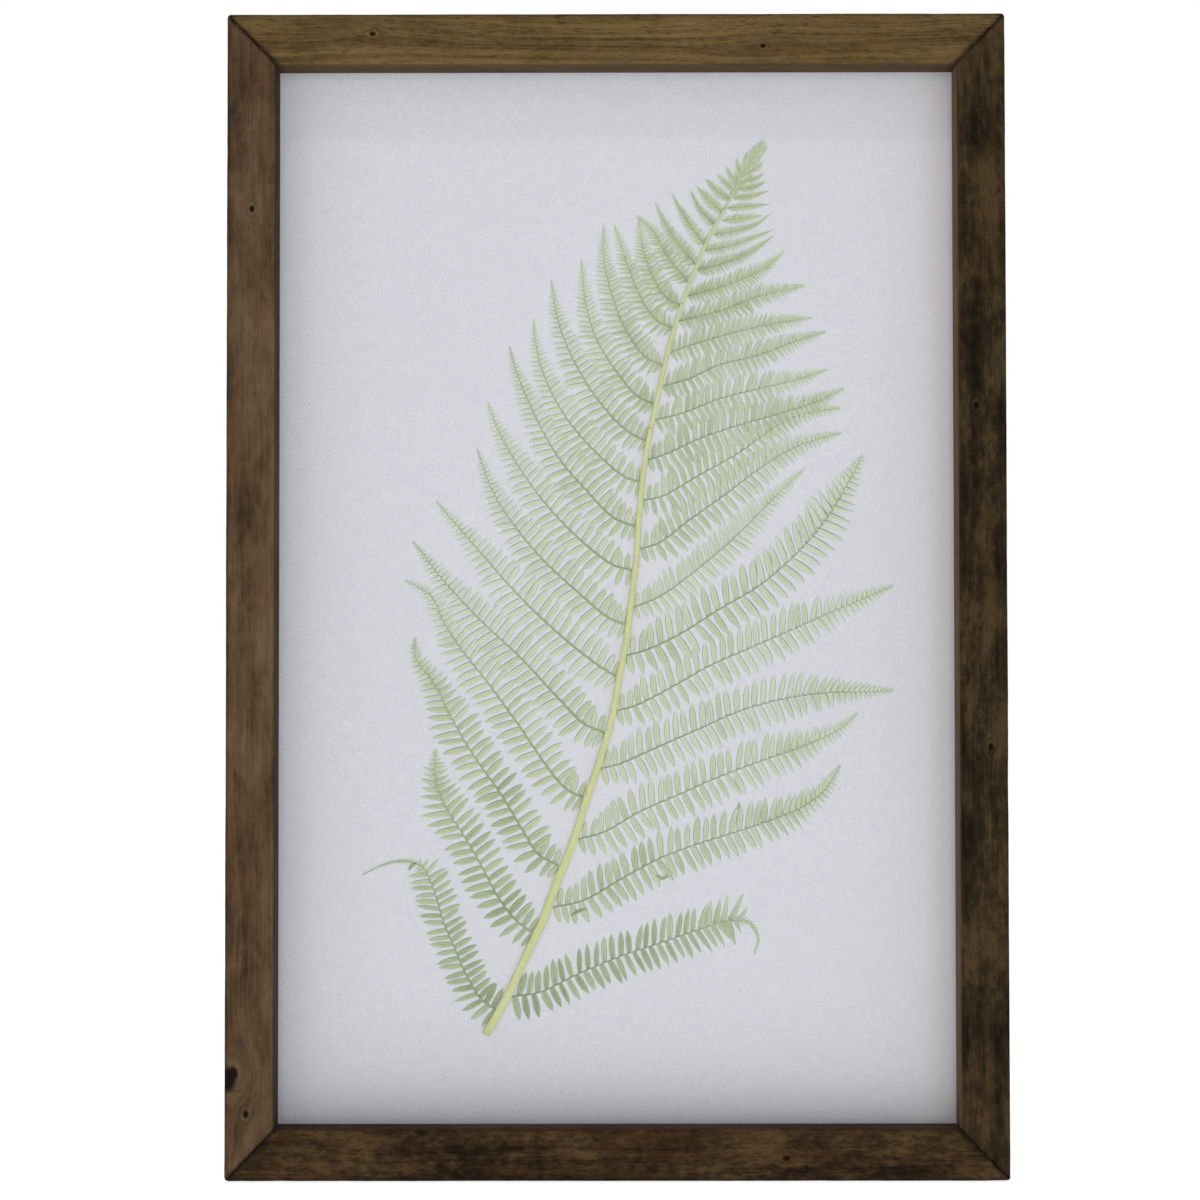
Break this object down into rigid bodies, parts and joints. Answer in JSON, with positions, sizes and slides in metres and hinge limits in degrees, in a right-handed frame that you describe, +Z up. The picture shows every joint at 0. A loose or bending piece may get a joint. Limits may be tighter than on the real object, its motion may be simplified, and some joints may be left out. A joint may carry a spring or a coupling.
{
  "type": "pressed fern frame",
  "caption": "Upright wall frame of stained pine holding a pressed fern frond on a pale sheet behind glass.",
  "frame": {"origin": "centre of the whole object's bounding box, on the frame's vertical centre line at half its height", "axes": "+X to the right seen from the front, +Z up along the stiles, the glazed front faces -Y and the wall side faces +Y"},
  "size_m": [0.307, 0.0352, 0.459],
  "materials": {
    "stained_pine": "satin stain over visible grain and knots",
    "clear_glass": "clear, polished",
    "pale_sheet": "matt, fine woven grain",
    "hardboard": "matt brown fibreboard",
    "fern_leaf": "matt, thin dried leaf",
    "fern_stalk": "dull, dried stalk",
    "bright_steel": "satin zinc plate",
    "felt": "matt felt"
  },
  "bodies": {
    "root": {"rail_top": "stained_pine", "rail_bottom": "stained_pine", "stile_left": "stained_pine", "stile_right": "stained_pine", "glass_pane": "clear_glass", "mount_sheet": "pale_sheet", "backing_board": "hardboard", "rachis": "fern_stalk", "frond_tip": "fern_leaf", "pinna_left_01": "fern_leaf", "pinna_left_02": "fern_leaf", "pinna_left_03": "fern_leaf", "pinna_left_04": "fern_leaf", "pinna_left_05": "fern_leaf", "pinna_left_06": "fern_leaf", "pinna_left_07": "fern_leaf", "pinna_left_08": "fern_leaf", "pinna_left_09": "fern_leaf", "pinna_left_10": "fern_leaf", "pinna_left_11": "fern_leaf", "pinna_left_12": "fern_leaf", "pinna_left_13": "fern_leaf", "pinna_left_14": "fern_leaf", "pinna_left_15": "fern_leaf", "pinna_left_16": "fern_leaf", "pinna_left_17": "fern_leaf", "pinna_left_18": "fern_leaf", "pinna_left_19": "fern_leaf", "pinna_right_01": "fern_leaf", "pinna_right_02": "fern_leaf", "pinna_right_03": "fern_leaf", "pinna_right_04": "fern_leaf", "pinna_right_05": "fern_leaf", "pinna_right_06": "fern_leaf", "pinna_right_07": "fern_leaf", "pinna_right_08": "fern_leaf", "pinna_right_09": "fern_leaf", "pinna_right_10": "fern_leaf", "pinna_right_11": "fern_leaf", "pinna_right_12": "fern_leaf", "pinna_right_13": "fern_leaf", "pinna_right_14": "fern_leaf", "pinna_right_15": "fern_leaf", "pinna_right_16": "fern_leaf", "pinna_right_17": "fern_leaf", "pinna_right_18": "fern_leaf", "retainer_tab_1": "bright_steel", "retainer_tab_2": "bright_steel", "retainer_tab_3": "bright_steel", "retainer_tab_4": "bright_steel", "sawtooth_hanger": "bright_steel", "wall_pad_left": "felt", "wall_pad_right": "felt"}
  },
  "joints": []
}
